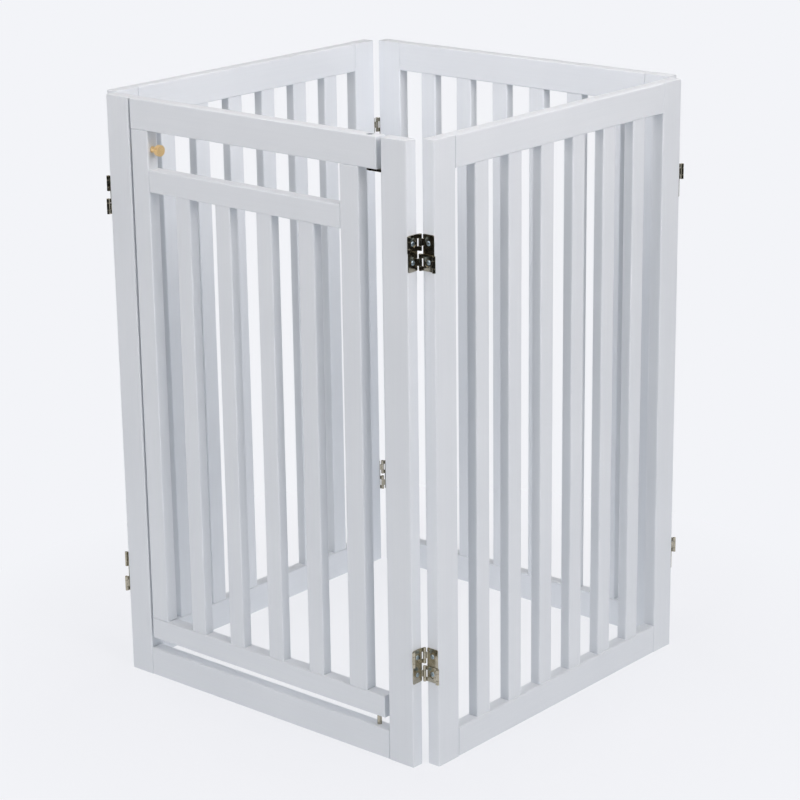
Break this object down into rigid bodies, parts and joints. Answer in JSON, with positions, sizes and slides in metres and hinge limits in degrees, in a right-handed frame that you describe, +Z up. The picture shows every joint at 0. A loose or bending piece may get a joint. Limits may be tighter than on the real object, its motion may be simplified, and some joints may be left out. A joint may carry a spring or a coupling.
{
  "type": "folding wooden pet gate",
  "caption": "White slatted wooden pet gate folded into a closed square pen, with a small pivoting door, a sliding wooden latch and double-action corner hinges.",
  "frame": {"origin": "on the floor, at the centre of the square pen", "axes": "+Z up; the door panel faces -Y, and +X runs from its latch side to its pivot side"},
  "size_m": [0.5606, 0.5606, 0.8],
  "materials": {
    "white_paint": "satin white paint on smooth solid wood",
    "nickel": "nickel plated steel, semi-bright",
    "natural_wood": "clear lacquered turned wood"
  },
  "bodies": {
    "front_frame": {"door_bottom_pivot_pin": "nickel", "door_top_pivot_bracket": "nickel", "front_left_lower_hinge_front_leaf": "nickel", "front_left_lower_hinge_front_link": "nickel", "front_left_stile": "white_paint", "front_left_upper_hinge_front_leaf": "nickel", "front_left_upper_hinge_front_link": "nickel", "front_right_lower_hinge_front_leaf": "nickel", "front_right_lower_hinge_front_link": "nickel", "front_right_stile": "white_paint", "front_right_upper_hinge_front_leaf": "nickel", "front_right_upper_hinge_front_link": "nickel", "front_threshold": "white_paint"},
    "door": {"door_bottom_rail": "white_paint", "door_hinge_stile": "white_paint", "door_latch_stile": "white_paint", "door_mid_rail": "white_paint", "door_slat_1": "white_paint", "door_slat_2": "white_paint", "door_slat_3": "white_paint", "door_slat_4": "white_paint", "door_top_pivot_pin": "nickel", "door_top_rail": "white_paint"},
    "latch_bolt": {"latch_bolt_and_knob": "natural_wood"},
    "right_panel": {"back_right_lower_hinge_right_leaf": "nickel", "back_right_lower_hinge_right_link": "nickel", "back_right_upper_hinge_right_leaf": "nickel", "back_right_upper_hinge_right_link": "nickel", "front_right_lower_hinge_right_leaf": "nickel", "front_right_lower_hinge_right_link": "nickel", "front_right_upper_hinge_right_leaf": "nickel", "front_right_upper_hinge_right_link": "nickel", "right_bottom_rail_and_slats": "white_paint", "right_first_stile": "white_paint", "right_second_stile": "white_paint", "right_top_rail": "white_paint"},
    "back_panel": {"back_bottom_rail_and_slats": "white_paint", "back_first_stile": "white_paint", "back_left_lower_hinge_back_leaf": "nickel", "back_left_lower_hinge_back_link": "nickel", "back_left_upper_hinge_back_leaf": "nickel", "back_left_upper_hinge_back_link": "nickel", "back_right_lower_hinge_back_leaf": "nickel", "back_right_lower_hinge_back_link": "nickel", "back_right_upper_hinge_back_leaf": "nickel", "back_right_upper_hinge_back_link": "nickel", "back_second_stile": "white_paint", "back_top_rail": "white_paint"},
    "left_panel": {"back_left_lower_hinge_left_leaf": "nickel", "back_left_lower_hinge_left_link": "nickel", "back_left_upper_hinge_left_leaf": "nickel", "back_left_upper_hinge_left_link": "nickel", "front_left_lower_hinge_left_leaf": "nickel", "front_left_lower_hinge_left_link": "nickel", "front_left_upper_hinge_left_leaf": "nickel", "front_left_upper_hinge_left_link": "nickel", "left_bottom_rail_and_slats": "white_paint", "left_first_stile": "white_paint", "left_second_stile": "white_paint", "left_top_rail": "white_paint"}
  },
  "joints": [
    {"name": "front_right_fold", "type": "hinge", "parent": "front_frame", "child": "right_panel", "pos_m": [0.2576, -0.2576, 0.4], "axis": [0, 0, 1], "range_deg": [-88, 82]},
    {"name": "front_left_fold", "type": "hinge", "parent": "front_frame", "child": "left_panel", "pos_m": [-0.2576, -0.2576, 0.4], "axis": [0, 0, 1], "range_deg": [-88, 82]},
    {"name": "back_right_fold", "type": "hinge", "parent": "right_panel", "child": "back_panel", "pos_m": [0.2576, 0.2576, 0.4], "axis": [0, 0, 1], "range_deg": [-82, 88]},
    {"name": "door_swing", "type": "hinge", "parent": "front_frame", "child": "door", "pos_m": [0.1905, -0.2679, 0.4], "axis": [0, 0, 1], "range_deg": [0, 120]},
    {"name": "latch_bolt_slide", "type": "slide", "parent": "door", "child": "latch_bolt", "axis": [-1, 0, 0], "range_m": [0, 0.0065]}
  ],
  "couplings": [
    {"joint": "front_left_fold", "follows": "front_right_fold", "ratio": 1},
    {"joint": "back_right_fold", "follows": "front_right_fold", "ratio": -1}
  ]
}
